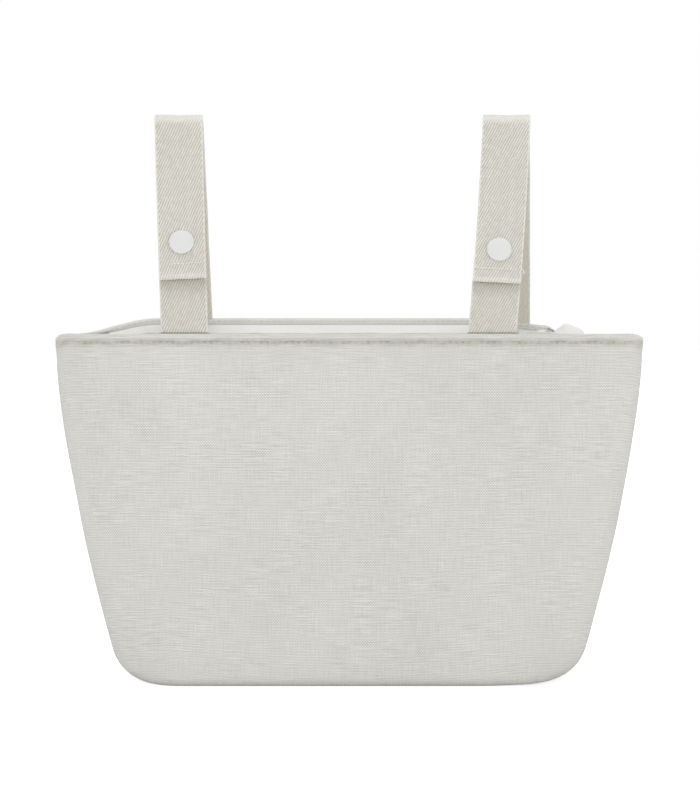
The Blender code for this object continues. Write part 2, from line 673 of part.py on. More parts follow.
def build():
    clear_scene()
    cloth = make_material("outer_cloth", (0.64, 0.63, 0.60), 0.9)
    foam = make_material("padding_foam", (0.80, 0.80, 0.78), 0.95)
    lining = make_material("lining_cloth", (0.78, 0.77, 0.74), 0.85)
    facing_cloth = make_material("facing_cloth", (0.76, 0.75, 0.72), 0.9)
    webbing_cloth = make_material("strap_webbing", (0.62, 0.60, 0.54), 0.85)
    cap_plastic = make_material("snap_cap_plastic", (0.79, 0.79, 0.77), 0.45)
    snap_metal = make_material("snap_metal", (0.72, 0.71, 0.68), 0.35, 1.0)
    tape = make_material("zip_tape", (0.66, 0.64, 0.58), 0.85)
    coil = make_material("zip_coil", (0.60, 0.58, 0.52), 0.5)
    zip_metal = make_material("zip_metal", (0.62, 0.58, 0.50), 0.35, 1.0)

    for hand, side in (("front", FRONT), ("back", BACK)):
        add_tub_layer("outer_%s_panel" % hand, outer_section, side, cloth)
        add_tub_layer("padding_" + hand, padding_section, side, foam)
        add_tub_layer("lining_" + hand, lining_section, side, lining)
        add_facing("zip_facing_" + hand, side, facing_cloth)
        add_zip_side(hand, side, tape, coil, zip_metal)
    add_pocket(lining)
    add_bottom_stop(zip_metal)
    past_stop = GAP + STOP_LENGTH + GAP
    add_end_tab("right", 1, COIL_RIGHT_END + past_stop, RIGHT_TAB_CREST, RIGHT_TAB_END, facing_cloth)
    add_end_tab("left", -1, past_stop - COIL_LEFT_END, LEFT_TAB_CREST, LEFT_TAB_END, facing_cloth)
    slider, hinge_height = add_slider(zip_metal)
    add_pull(slider, hinge_height, zip_metal)
    add_strap("left", LEFT_STRAP, webbing_cloth, cap_plastic, snap_metal)
    add_strap("right", RIGHT_STRAP, webbing_cloth, cap_plastic, snap_metal)


build()
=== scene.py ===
import math

import bmesh
import bpy
import numpy as np
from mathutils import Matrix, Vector, noise


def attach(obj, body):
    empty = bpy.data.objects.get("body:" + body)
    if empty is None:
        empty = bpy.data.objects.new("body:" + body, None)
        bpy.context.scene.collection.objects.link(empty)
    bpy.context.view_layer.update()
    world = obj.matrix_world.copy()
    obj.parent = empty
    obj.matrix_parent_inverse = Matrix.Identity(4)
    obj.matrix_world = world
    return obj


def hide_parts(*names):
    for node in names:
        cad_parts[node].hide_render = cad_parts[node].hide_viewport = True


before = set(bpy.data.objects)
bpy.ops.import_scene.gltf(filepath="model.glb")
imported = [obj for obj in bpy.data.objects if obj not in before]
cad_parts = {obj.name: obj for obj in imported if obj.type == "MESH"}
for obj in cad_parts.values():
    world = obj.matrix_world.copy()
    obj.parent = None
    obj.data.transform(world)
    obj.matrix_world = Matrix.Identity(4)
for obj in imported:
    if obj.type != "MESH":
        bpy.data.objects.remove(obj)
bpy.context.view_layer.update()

# Sizes of the solids, in metres
BODY_HEIGHT = 0.2163
RIM_WIDTH = 0.359
BASE_WIDTH = 0.280
SIDE_BOW = 0.0060
RIM_DEPTH = 0.115
BASE_DEPTH = 0.118
WALL_BULGE = 0.003
FRONT_CORNER_RADIUS = 0.028
BACK_CORNER_RADIUS = 0.046
BASE_CORNER_RADIUS = 0.039
SIDE_FOOT_RADIUS = 0.025
RIGHT_FOOT_LIFT = 0.0014
LONG_FOOT_RADIUS = 0.009
SEAM_HALF = 0.085
GAP = 0.0003
OUTER_THICKNESS = 0.0008
PADDING_THICKNESS = 0.0022
LINING_THICKNESS = 0.0008
WALL_THICKNESS = 0.0044
ROLL_RADIUS = WALL_THICKNESS / 2
ROLL_BASE = BODY_HEIGHT - ROLL_RADIUS
HEM_EDGE = BODY_HEIGHT - 0.006
LINING_TOP = HEM_EDGE - GAP
PADDING_OUT = OUTER_THICKNESS + GAP
LINING_OUT = PADDING_OUT + PADDING_THICKNESS + GAP

STRAP_WIDTH = 0.0285
STRAP_THICKNESS = 0.0017
STRAP_RISE = 0.129
STRAP_BEND = 0.009
STRAP_ROOT = 0.014
LAP_TO_SNAP = 0.002
STUB_PAST_SNAP = 0.014
LEG_TO_STUB = 2 * STRAP_THICKNESS + 3 * GAP
SNAP_RING_RADIUS = 0.0055
STRAPS = {
    "left": {"near": -0.0995, "top": -0.1046, "far": -0.1001, "fold": 0.0311, "snap": 0.0526,
             "seam": 0.0401, "proud": 0.002, "slant": -0.050, "bow": 0.0, "wide": (1.0, 1.035), "tail": False},
    "right": {"near": 0.0864, "top": 0.0963, "far": 0.0990, "fold": 0.0290, "snap": 0.0483,
              "seam": 0.0371, "proud": -0.02, "slant": 0.055, "bow": 0.0007, "wide": (1.03, 1.03), "tail": True}}

ZIP_HEIGHT = BODY_HEIGHT - 0.009
ZIP_OPENING = 0.011
TAPE_THICKNESS = 0.0005
TAPE_OUTER = 0.0115
TAPE_PAST_COIL = 0.0125
COIL_LEFT_END = -0.128
COIL_RIGHT_END = 0.124
FACING_DROP = 0.0041
FACING_THICKNESS = 0.0008
FACING_PAST_COIL = 0.0155
FACING_CREST = 0.0042
STOP_LENGTH, STOP_HEIGHT = 0.0014, 0.0020
TAB_WIDTH = 0.022
TAB_LENGTH = 0.018
TAB_THICKNESS = 0.0006
POCKET_HALF_WIDTH = 0.100
POCKET_BOTTOM = 0.060
POCKET_HEIGHT = 0.090
POCKET_BULGE = 0.0085
POCKET_THICKNESS = 0.0007
FRONT, BACK = -1, 1
HALVES = (("front", FRONT), ("back", BACK))

# Distances along the rim from the middle of the back: its corners, the side seam, the middle of the front
RIM_TURNS = (0.1335, 0.2058, 0.2468, 0.2908)
SIDE_PLACE, FRONT_PLACE = 0.2173, 0.4423
# How far the rim has sunk there, both in millimetres
SUNK_LEFT = ((0, 0), (120, 0), (125, 0.2), (134, 1.4), (142.5, 3.4), (150.6, 5.2), (158, 7.1), (168, 8.2),
             (180, 8.5), (190, 8.2), (217, 7.0), (235, 6.4), (247, 5.9), (252.6, 4.5), (258.5, 3.0), (269, 1.6),
             (291, 1.1), (442, 1.1))
SUNK_RIGHT = ((0, 0), (95, 0), (101, 1.2), (107, 2.5), (112, 3.3), (115, 3.7), (118, 4.1), (121.5, 4.5), (124, 4.5),
              (126.5, 5.6), (129, 7.6), (134, 9.2), (145, 10.0), (165, 9.6), (190, 8.8), (217, 7.9), (235, 7.2),
              (247, 5.7), (254, 4.3), (260, 3.1), (266.5, 2.1), (272, 1.5), (291, 1.1), (442, 1.1))
SINK_FROM = 0.10
ROLL_SQUARE = 0.62
HEM_SWELL = 0.00045
HEM_FROM, HEM_TO = 0.0012, 0.0060
GROOVE = 0.0012

BASE_ROWS, FOOT_ROWS, WALL_ROWS = 5, 9, 44
STITCH_PITCH = 0.0038
INNER_STITCH_DROP = 0.0033
RIM_STITCH_RUN = 0.0062
INNER_STITCH_RUN = 0.0039
THREAD_RADIUS = 0.00022
TWILL_PITCH, TWILL_PICK, SELVEDGE_PICK = 0.00162, 0.00108, 0.0009


# Node materials

class Wiring:
    """A node tree whose inputs take numbers, colours and sockets alike."""

    def __init__(self, tree):
        self.tree = tree

    def feed(self, node, given):
        """Fill a node's inputs, given by name or in their order."""
        for key, value in given.items() if isinstance(given, dict) else enumerate(given):
            if isinstance(value, bpy.types.NodeSocket):
                self.tree.links.new(value, node.inputs[key])
            else:
                node.inputs[key].default_value = value
        return node

    def node(self, kind, given=()):
        return self.feed(self.tree.nodes.new(kind), given)

    def math(self, operation, *values):
        node = self.node("ShaderNodeMath")
        node.operation = operation
        return self.feed(node, values).outputs[0]

    def show(self, kind, plain, seen):
        """Shade with the first, but with the second for camera, glossy and transmission rays."""
        path = self.node("ShaderNodeLightPath").outputs
        eye = path["Is Camera Ray"]
        for name in ("Is Glossy Ray", "Is Transmission Ray"):
            eye = self.math("MAXIMUM", eye, path[name])
        mix = self.node("ShaderNodeMixShader", (eye, plain.outputs[0], seen.outputs[0]))
        self.node(kind, {"Surface": mix.outputs[0]})


class Paint(Wiring):
    """A material on the standard shader."""

    def __init__(self, name, roughness, metallic=0.0, sheen=0.0, specular=0.5):
        self.material = bpy.data.materials.new(name)
        self.material.use_nodes = True
        super().__init__(self.material.node_tree)
        self.shader = self.feed(self.tree.nodes["Principled BSDF"], {
            "Roughness": roughness, "Metallic": metallic, "Sheen Weight": sheen, "Specular IOR Level": specular})

    def chain(self, operation, values):
        total = values[0]
        for value in values[1:]:
            total = self.math(operation, total, value)
        return total

    def add(self, *values):
        return self.chain("ADD", values)

    def times(self, *values):
        return self.chain("MULTIPLY", values)

    def size(self, value):
        return self.math("ABSOLUTE", value)

    def centred(self, value):
        return self.math("SUBTRACT", value, 0.5)

    def wave(self, value, period):
        return self.math("SINE", self.math("MULTIPLY", value, 2 * math.pi / period))

    def ripple(self, value, period):
        """A wave between 0 and 1."""
        return self.math("MULTIPLY_ADD", self.wave(value, period), 0.5, 0.5)

    def ramp(self, value, low, high, to_low=0.0, to_high=1.0):
        node = self.node("ShaderNodeMapRange", (value, low, high, to_low, to_high))
        node.interpolation_type = "SMOOTHSTEP"
        return node.outputs[0]

    def blend(self, share, low, high):
        """low where share is 0 and high where it is 1."""
        return self.add(low, self.times(share, self.math("SUBTRACT", high, low)))

    def join(self, x, y, z=0.0):
        return self.node("ShaderNodeCombineXYZ", (x, y, z)).outputs[0]

    def split(self, vector):
        return self.node("ShaderNodeSeparateXYZ", (vector,)).outputs[:]

    def noise(self, vector, scale=1.0, detail=2.0, roughness=0.5):
        return self.node("ShaderNodeTexNoise", {"Vector": vector, "Scale": scale, "Detail": detail,
                                                "Roughness": roughness}).outputs[0]

    def grain(self, u, v, across, along, detail=2, roughness=0.5):
        """Noise on the cloth, with so many blotches to the metre across it and along it."""
        return self.noise(self.join(self.times(u, across), self.times(v, along)), 1.0, detail, roughness)

    def flat(self):
        """Place on the cloth as it lies flat, in metres: across and along."""
        node = self.node("ShaderNodeUVMap")
        node.uv_map = "flat"
        return self.split(node.outputs[0])[:2]

    def place(self):
        return self.node("ShaderNodeTexCoord").outputs["Object"]

    def colour(self, share, low, high):
        node = self.node("ShaderNodeMix")
        node.data_type = "RGBA"
        low, high = ((*side, 1.0) if isinstance(side, tuple) else side for side in (low, high))
        return self.feed(node, {"Factor": share, "A": low, "B": high}).outputs["Result"]

    def finish(self, colour, height, strength, distance, roughness=None):
        bump = self.node("ShaderNodeBump", {"Strength": strength, "Distance": distance, "Height": height})
        self.feed(self.shader, {"Base Color": colour, "Normal": bump.outputs[0]})
        if roughness is not None:
            self.feed(self.shader, {"Roughness": roughness})
        return self.material


def woven(name, light, dark, period, slub=1.0, depth=0.00012, ribbed=0.0, stitched=False, shaded=False):
    """Plain weave: warp and weft pass over each other, with uneven yarn lying mostly across."""
    p = Paint(name, 0.92, sheen=0.08, specular=0.25)
    u, v = p.flat()
    drift = p.centred(p.grain(u, v, 150, 420, 1))
    across = p.add(u, p.times(drift, period * 0.5))
    along = p.add(v, p.times(drift, period * 0.35))
    wave_u, wave_v = p.wave(across, period), p.wave(along, period * 1.2)
    over = p.ramp(p.times(wave_u, wave_v), -0.25, 0.25)
    yarn = p.blend(over, p.size(wave_v), p.size(wave_u))
    patch = p.ramp(p.grain(u, v, 26, 34, 1), 0.40, 0.62)
    streak = p.grain(u, v, 62, 1250, 3, 0.65)
    rise = p.grain(u, v, 1150, 75, 2, 0.6)
    lines = p.times(p.centred(streak), p.blend(patch, 0.55, 1.35))
    tone = p.add(0.50, p.times(lines, 1.6 * slub), p.times(p.centred(rise), 0.7 * slub),
                 p.times(p.centred(p.grain(u, v, 14, 11)), 0.45), p.times(p.math("SUBTRACT", yarn, 0.6), 0.8),
                 p.times(wave_u, wave_v, 0.46), p.times(p.wave(along, period * 1.04), ribbed))
    height = p.add(yarn, p.times(streak, 0.9 * slub), p.times(rise, 0.35 * slub))
    colour = p.colour(p.math("MULTIPLY_ADD", tone, 0.5, 0.25), dark, light)
    if shaded:
        colour = front_crease(p, u, colour)
    if stitched:
        colour, hole = rim_painted_light_and_shade(p, u, v, colour)
        height = p.add(height, p.times(hole, -2.0))
    return p.finish(colour, height, 0.8, depth)


def front_crease(p, u, colour):
    """Uneven shade where the facing meets the front wall."""
    y = p.split(p.place())[1]
    uneven = p.ramp(p.noise(p.join(p.times(u, 60), 0.0)), 0.35, 0.65, 0.25, 1.0)
    return p.colour(p.times(p.ramp(y, -0.0490, -0.0460, 0.42, 0.0), uneven), colour, (0.26, 0.23, 0.18))


def rim_painted_light_and_shade(p, u, v, colour):
    """Painted light and shade on the rim: paler hem, shaded band and stitch holes under it, and a shadow in the tuck
    at the right of the back rim.
    """
    # Painted light: the hem over the roll and down inside is painted paler.
    colour = p.colour(p.ramp(v, 0.0005, 0.0025, 0.0, 0.22), colour, (1.0, 0.995, 0.98))
    # Painted shade: a blotchy darker band under the hem, round the stitch line, where the roll overhangs.
    band = p.times(p.ramp(v, -0.0105, -0.0058), p.ramp(v, -0.0052, -0.0026, 1.0, 0.0))
    blotch = p.grain(u, v, 110, 300)
    colour = p.colour(p.times(band, p.ramp(blotch, 0.30, 0.75, 0.25, 0.62)), colour, (0.36, 0.34, 0.28))
    x, y, z = p.split(p.place())
    # Painted shadow: a dark slanted stroke where the back rim folds in under the right end tab.
    off_tuck = p.size(p.add(z, p.times(p.math("SUBTRACT", x, 0.1266), 0.46), -0.2090))
    tuck = p.times(p.ramp(x, 0.1243, 0.1250), p.ramp(x, 0.1278, 0.1290, 1.0, 0.0),
                   p.ramp(off_tuck, 0.0002, 0.0008, 1.0, 0.0), p.ramp(y, 0.044, 0.046))
    colour = p.colour(p.times(tuck, 0.9), colour, (0.10, 0.085, 0.05))
    # Painted shade along the stitch line, uneven, and deeper in the stitch holes, which are also dents in the bump.
    near = p.ramp(p.size(p.math("ADD", v, RIM_STITCH_RUN)), 0.0001, 0.0012, 1.0, 0.0)
    fade = p.ramp(p.size(u), 0.156, 0.170, 1.0, 0.15)
    stitch_shade = p.times(near, p.ramp(blotch, 0.30, 0.70, 0.2, 1.0), fade)
    hole = p.times(stitch_shade, p.ramp(p.size(p.wave(u, 2 * STITCH_PITCH)), 0.15, 0.90, 1.0, 0.0))
    colour = p.colour(p.times(stitch_shade, 0.34), colour, (0.30, 0.275, 0.21))
    return p.colour(p.times(hole, 0.36), colour, (0.22, 0.20, 0.15)), hole


def webbing_material(name, lapped):
    """Twill webbing: steep beaded ridges and a fine selvedge along each edge, with painted highlights at its top bend
    and fold, and painted shade on its inner face and on the stub.
    """
    p = Paint(name, 0.86, sheen=0.10, specular=0.3)
    u, v = p.flat()
    inside = p.ramp(u, 0.4, 0.6)
    u = p.math("SUBTRACT", u, inside)
    sway = p.times(p.centred(p.grain(u, v, 90, 120, 1)), 0.0007)
    slant = p.add(u, p.times(v, 0.445), sway)
    ridge = p.ripple(slant, TWILL_PITCH)
    bead = p.ripple(p.add(v, p.times(slant, 0.5)), TWILL_PICK)
    twill = p.times(p.math("POWER", ridge, 0.8), p.blend(bead, 0.52, 1.0))
    edge = p.ramp(p.size(u), STRAP_WIDTH / 2 - 0.0012, STRAP_WIDTH / 2 - 0.0007)
    height = p.blend(edge, twill, p.add(0.52, p.times(p.ripple(v, SELVEDGE_PICK), 0.3)))
    tone = p.add(height, p.times(p.centred(p.grain(u, v, 300, 300, 3)), 0.7),
                 p.times(p.centred(p.grain(u, v, 25, 18)), 0.3))
    x, y, z = p.split(p.place())
    colour = p.colour(p.ramp(tone, 0.05, 1.0), (0.540, 0.519, 0.456), (0.828, 0.813, 0.760))
    # Painted shade: the inner face of the webbing, which the far leg shows, is tinted browner.
    colour = p.colour(p.times(inside, 0.55), colour, (0.690, 0.648, 0.552))
    if lapped:
        # Painted shadow on the stub: faint all over, deepening up to the fold of the leg in front of it.
        behind = p.ramp(z, BODY_HEIGHT + 0.019, BODY_HEIGHT + 0.0300, 0.05, 0.32)
        colour = p.colour(behind, colour, (0.30, 0.26, 0.19))
        # Painted shade: a dark line where the stub goes down behind the rim.
        colour = p.colour(p.ramp(z, BODY_HEIGHT - 0.0008, BODY_HEIGHT, 0.5, 0.0), colour, (0.20, 0.16, 0.10))
        return p.finish(colour, height, 0.9, 0.00032)
    top = BODY_HEIGHT + STRAP_RISE
    left, right = STRAPS["left"], STRAPS["right"]
    fold = p.add(BODY_HEIGHT, p.ramp(x, -0.01, 0.01, left["fold"], right["fold"]),
                 p.times(p.ramp(x, -0.01, 0.01, -left["slant"], -right["slant"]), u))
    past = p.math("SUBTRACT", z, fold)
    # Painted highlights: the top of the bend and a band round the folded end of the front leg are painted paler, with
    # their twill flattened.
    lap = p.times(p.ramp(past, -0.0035, 0.0), p.ramp(past, 0.0018, 0.0042, 1.0, 0.0),
                  p.ramp(y, -0.002, 0.0, 1.0, 0.0))
    wear_and_highlight = p.math("MAXIMUM", p.ramp(z, top - 0.0060, top - 0.0018, 0.0, 0.55), p.times(lap, 0.36))
    colour = p.colour(wear_and_highlight, colour, (0.84, 0.83, 0.79))
    return p.finish(colour, p.times(height, p.math("SUBTRACT", 1.0, wear_and_highlight)), 0.9, 0.00032)


def mixed(p, main, fine):
    """Seven parts of one pattern and three of another."""
    return p.add(p.times(main, 0.7), p.times(fine, 0.3))


def tape_material():
    """Herringbone tape."""
    p = Paint("zip_tape_weave", 0.88, sheen=0.06, specular=0.3)
    u, v = p.flat()
    rib = p.ripple(p.add(u, p.times(p.math("PINGPONG", v, 0.0016), 1.2)), 0.0009)
    tone = p.add(p.times(rib, 0.7), p.times(p.grain(u, v, 700, 700), 0.4))
    return p.finish(p.colour(tone, (0.56, 0.54, 0.47), (0.68, 0.66, 0.60)), rib, 0.8, 0.00012)


def wadding_material():
    p = Paint("wadding_fibre", 0.96, sheen=0.05, specular=0.2)
    place = p.place()
    fluff = p.noise(place, 900, 4, 0.7)
    tone = mixed(p, fluff, p.noise(place, 60))
    return p.finish(p.colour(tone, (0.70, 0.70, 0.67), (0.86, 0.86, 0.84)), fluff, 0.8, 0.0004)


def thread_material(name, low, high):
    """Twisted sewing thread."""
    p = Paint(name, 0.7, sheen=0.10, specular=0.35)
    place = p.place()
    x, y, z = p.split(place)
    ply = p.ripple(p.add(x, y, p.times(z, 0.7)), 0.0005)
    return p.finish(p.colour(mixed(p, ply, p.noise(place, 2500)), low, high), ply, 0.6, 0.00008)


def moulded_material(name, low, high, roughness, specular):
    """Moulded plastic: a faint orange peel and a few duller rubbed places."""
    p = Paint(name, roughness, specular=specular)
    place = p.place()
    peel, wear_and_highlight = p.noise(place, 1400), p.noise(place, 160, 3)
    return p.finish(p.colour(mixed(p, wear_and_highlight, peel), low, high), peel, 0.25, 0.00004,
                    p.ramp(wear_and_highlight, 0.3, 0.75, roughness - 0.05, roughness + 0.10))


def metal_material(name, low, high, roughness):
    """Plated metal: fine brushing, cloudy patches and rubbed spots."""
    p = Paint(name, roughness, metallic=1.0)
    place = p.place()
    x, y, z = p.split(place)
    brushed = p.noise(p.join(p.times(x, 300), p.times(y, 6000), p.times(z, 6000)))
    cloud = p.noise(place, 240, 3)
    return p.finish(p.colour(p.ramp(mixed(p, cloud, brushed), 0.3, 0.7), low, high), brushed, 0.25, 0.00004,
                    p.ramp(cloud, 0.3, 0.7, roughness - 0.06, roughness + 0.14))


OUTER = woven("outer_canvas", (0.860, 0.852, 0.815), (0.445, 0.437, 0.405), 0.00157, ribbed=0.17, stitched=True)
# Facing and tab are paler than the outer canvas: partly their own colour, partly painted light for their upturned
# faces; the tab, paler still, more so.
FACING = woven("facing_canvas", (0.99, 0.985, 0.97), (0.70, 0.692, 0.665), 0.00150, slub=0.9, shaded=True)
TAB = woven("tab_canvas", (0.99, 0.985, 0.97), (0.85, 0.842, 0.82), 0.00150, slub=0.6)
LINING = woven("lining_lawn", (0.86, 0.85, 0.825), (0.68, 0.67, 0.64), 0.00080, slub=0.35, depth=0.00006)
WEBBING = webbing_material("webbing_twill", False)
STUB_WEBBING = webbing_material("webbing_twill_lapped", True)
TAPE = tape_material()
WADDING = wadding_material()
THREAD = thread_material("sewing_thread", (0.50, 0.48, 0.41), (0.70, 0.685, 0.63))
PALE_THREAD = thread_material("strap_thread", (0.80, 0.79, 0.76), (0.95, 0.945, 0.93))
CAP = moulded_material("snap_cap_moulding", (0.705, 0.705, 0.693), (0.745, 0.745, 0.733), 0.50, 0.30)
COIL = moulded_material("coil_nylon", (0.56, 0.54, 0.47), (0.66, 0.64, 0.58), 0.42, 0.5)
NICKEL = metal_material("snap_nickel", (0.62, 0.61, 0.58), (0.74, 0.73, 0.70), 0.30)
PLATING = metal_material("zip_plating", (0.66, 0.65, 0.62), (0.78, 0.77, 0.74), 0.32)


# Mesh building

def smooth_step(value, low, high):
    share = np.clip((value - low) / (high - low), 0, 1)
    return share * share * (3 - 2 * share)


def unit(vectors):
    return vectors / np.linalg.norm(vectors, axis=-1, keepdims=True)


def lengths(line):
    """Distance of each point of a line from its first."""
    return np.concatenate([[0], np.cumsum(np.linalg.norm(np.diff(line, axis=0), axis=1))])


def at_lengths(where, length, line):
    """Points of a line at some distances from its first."""
    return np.stack([np.interp(where, length, line[:, i]) for i in range(line.shape[1])], axis=-1)


def into_scene(name, data):
    item = bpy.data.objects.new(name, data)
    bpy.context.scene.collection.objects.link(item)
    return item


def new_object(name, mesh, material, replaces=(), sharp=60):
    """Put a finished mesh into the scene as a piece of the bag's body."""
    work = bmesh.new()
    work.from_mesh(mesh)
    bmesh.ops.recalc_face_normals(work, faces=work.faces)
    work.to_mesh(mesh)
    work.free()
    mesh.shade_smooth()
    mesh.set_sharp_from_angle(angle=math.radians(sharp))
    mesh.materials.append(material)
    item = into_scene(name, mesh)
    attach(item, "root")
    if replaces:
        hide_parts(*replaces)
    return item


def mesh_of(name, points, faces, flat=None):
    mesh = bpy.data.meshes.new(name)
    mesh.from_pydata([tuple(point) for point in points], [], faces)
    if flat is not None:
        layer = mesh.uv_layers.new(name="flat")
        corner = np.zeros(len(mesh.loops), dtype=np.int32)
        mesh.loops.foreach_get("vertex_index", corner)
        layer.data.foreach_set("uv", np.asarray(flat, dtype=np.float32)[corner].ravel())
    return mesh


def grid_faces(rows, columns, start=0, turned=False, closed=False):
    faces = []
    for i in range(rows - 1):
        for j in range(columns if closed else columns - 1):
            k, row = (j + 1) % columns, start + i * columns
            face = (row + j, row + k, row + columns + k, row + columns + j)
            faces.append(face[::-1] if turned else face)
    return faces


def tube_faces(rows, sides, start=0):
    """Faces round a tube of rings, and over its two ends."""
    end = start + rows * sides
    return grid_faces(rows, sides, start, closed=True) + [
        tuple(range(start, start + sides)), tuple(range(end - 1, end - sides - 1, -1))]


def grid_normals(grid, towards):
    normal = np.cross(np.gradient(grid, axis=1), np.gradient(grid, axis=0))
    normal /= np.maximum(np.linalg.norm(normal, axis=2, keepdims=True), 1e-12)
    return normal if normal.mean(axis=(0, 1)) @ towards > 0 else -normal


def cloth_piece(name, grid, flat, thickness, towards, material, node, sharp=60):
    """A sheet of cloth: the grid is its face towards the given side, and it has real thickness."""
    rows, columns = grid.shape[:2]
    under = grid - grid_normals(grid, towards) * thickness
    count = rows * columns
    index = np.arange(count).reshape(rows, columns)
    edge = np.concatenate([index[0], index[1:, -1], index[-1, -2::-1], index[-2:0:-1, 0]]).tolist()
    faces = grid_faces(rows, columns) + grid_faces(rows, columns, count, turned=True)
    faces += [(a, a + count, b + count, b) for a, b in zip(edge, edge[1:] + edge[:1])]
    points = np.concatenate([grid.reshape(-1, 3), under.reshape(-1, 3)])
    mesh = mesh_of(name, points, faces, np.concatenate([flat.reshape(-1, 2)] * 2))
    return new_object(name, mesh, material, [node], sharp)


def flat_of(grid, column=0, row=0):
    """Distances across and along a grid from one of its columns and rows, as the cloth would lie flat."""
    steps = [np.linalg.norm(np.diff(grid, axis=axis), axis=2) for axis in (0, 1)]
    along, across = (np.insert(np.cumsum(steps[axis], axis=axis), 0, 0, axis=axis) for axis in (0, 1))
    return np.stack([across - across[:, column:column + 1], along - along[row:row + 1]], axis=2)


def lathe(profile, steps=56):
    """Turn (radius, height) points round Z; the profile starts and ends on the axis."""
    points, rows = [], []
    for radius, height in profile:
        rows.append([])
        for i in range(1 if radius == 0 else steps):
            rows[-1].append(len(points))
            turn = 2 * math.pi * i / steps
            points.append((radius * math.cos(turn), radius * math.sin(turn), height))
    faces = []
    for low, high in zip(rows, rows[1:]):
        for i in range(steps):
            j = (i + 1) % steps
            corners = [low[i % len(low)], low[j % len(low)], high[j % len(high)], high[i % len(high)]]
            faces.append(list(dict.fromkeys(corners)))
    return points, faces


def circle(across, other, sides):
    """Unit circle between each pair of directions."""
    turn = np.linspace(0, 2 * math.pi, sides, endpoint=False)[:, None]
    return np.cos(turn) * across[..., None, :] + np.sin(turn) * other[..., None, :]


def tube(path, radius, sides=6):
    """Round tube along a path, as points and faces."""
    heading = unit(np.gradient(path, axis=0))
    across = np.cross(heading, (0, 0, 1))
    weak = np.linalg.norm(across, axis=1) < 0.1
    across[weak] = np.cross(heading[weak], (1, 0, 0))
    across = unit(across)
    ring = path[:, None] + radius * circle(across, np.cross(heading, across), sides)
    return ring.reshape(-1, 3), tube_faces(len(path), sides)


def stitches(name, line, normals, pitch=STITCH_PITCH, share=0.70, radius=THREAD_RADIUS, lift=0.6, middle=0,
             material=THREAD):
    """Run of thread along a line on the cloth; each stitch dips into it at both ends.

    The stitches lie halfway between even steps counted from the middle point of the line.
    """
    length = lengths(line)
    first = (length[middle] / pitch + 0.5) % 1
    where = pitch * (first + np.arange(int(length[-1] / pitch - first)))
    reach = np.array([-1.0, -0.8, -0.4, 0.0, 0.4, 0.8, 1.0])
    spots = where[:, None] + reach[None] * pitch * share / 2
    centre, normal = at_lengths(spots, length, line), unit(at_lengths(spots, length, normals))
    side = np.cross(normal, unit(centre[:, -1:] - centre[:, :1]))
    centre = centre + normal * (radius * (lift - 1.9 * reach ** 4))[:, None]
    thick = radius * np.array([0.55, 0.9, 1.0, 1.0, 1.0, 0.9, 0.55])
    ring = centre[:, :, None] + thick[:, None, None] * circle(side, normal, 6)
    faces = [face for k in range(len(where)) for face in tube_faces(7, 6, k * 42)]
    new_object(name, mesh_of(name, ring.reshape(-1, 3), faces), material, sharp=80)


# The tub's skin, as in the solids but finer

def half_size(base, rim, bow, z):
    share = z / BODY_HEIGHT
    return (base + (rim - base) * share) / 2 + 4 * bow * share * (1 - share)


def half_width(z):
    return half_size(BASE_WIDTH, RIM_WIDTH, SIDE_BOW, z)


def half_depth(z):
    return half_size(BASE_DEPTH, RIM_DEPTH, WALL_BULGE, z)


def corner_radius(z, side):
    rim = FRONT_CORNER_RADIUS if side == FRONT else BACK_CORNER_RADIUS
    return BASE_CORNER_RADIUS + (rim - BASE_CORNER_RADIUS) * z / BODY_HEIGHT


def columns_of(side_steps, corner_steps, panel_steps):
    """Columns of one half of the tub, from the right side seam round to the left one."""
    edge = [("side", (i / side_steps) ** 1.7) for i in range(side_steps)]
    edge += [("corner", math.pi / 2 * i / corner_steps) for i in range(corner_steps)]
    right = [(kind, 1, value) for kind, value in edge]
    middle = [("panel", 0, i / panel_steps) for i in range(panel_steps + 1)]
    return right + middle + [(kind, -1, value) for kind, value in reversed(edge)]


def plan(column, side, z):
    """Outside of a column at some heights, in plan, with its outward direction."""
    kind, hand, value = column
    width, depth, radius = half_width(z), half_depth(z), corner_radius(z, side)
    if kind == "side":
        return hand * width, side * (GAP / 2 + (depth - radius - GAP / 2) * value), (hand, 0.0)
    if kind == "corner":
        c, s = math.cos(value), math.sin(value)
        return hand * (width - radius + radius * c), side * (depth - radius + radius * s), (hand * c, side * s)
    return (width - radius) * (1 - 2 * value), side * depth, (0.0, side)


def tilt(column, side, z):
    x0, y0, out = plan(column, side, z - 0.001)
    x1, y1, _ = plan(column, side, z + 0.001)
    return np.arctan(((x1 - x0) * out[0] + (y1 - y0) * out[1]) / 0.002)


def wall(column, side, z, inset):
    """Points at some heights, set in from the outside."""
    x, y, out = plan(column, side, z)
    lean = tilt(column, side, z)
    return np.stack([x - out[0] * inset * np.cos(lean), y - out[1] * inset * np.cos(lean),
                     z + inset * np.sin(lean)], axis=-1)


def ring_place(column, side):
    """Distance along the rim from the middle of the back."""
    kind, _, value = column
    middle, panel_end, corner_end = (0, *RIM_TURNS[:2]) if side == BACK else (FRONT_PLACE, *RIM_TURNS[:1:-1])
    if kind == "panel":
        return middle - abs(1 - 2 * value) * (middle - panel_end)
    if kind == "corner":
        return corner_end + (panel_end - corner_end) * value / (math.pi / 2)
    return SIDE_PLACE + (corner_end - SIDE_PLACE) * value


def sunk(place, right):
    """How far the rim has sunk; the walls below follow it less and less."""
    table = SUNK_RIGHT if right else SUNK_LEFT
    return np.interp(place * 1000, *zip(*table)) / 1000


def hem_swell(column, side):
    return HEM_SWELL * (2 * plan(column, side, 0.0)[2][1] ** 2 - 1)


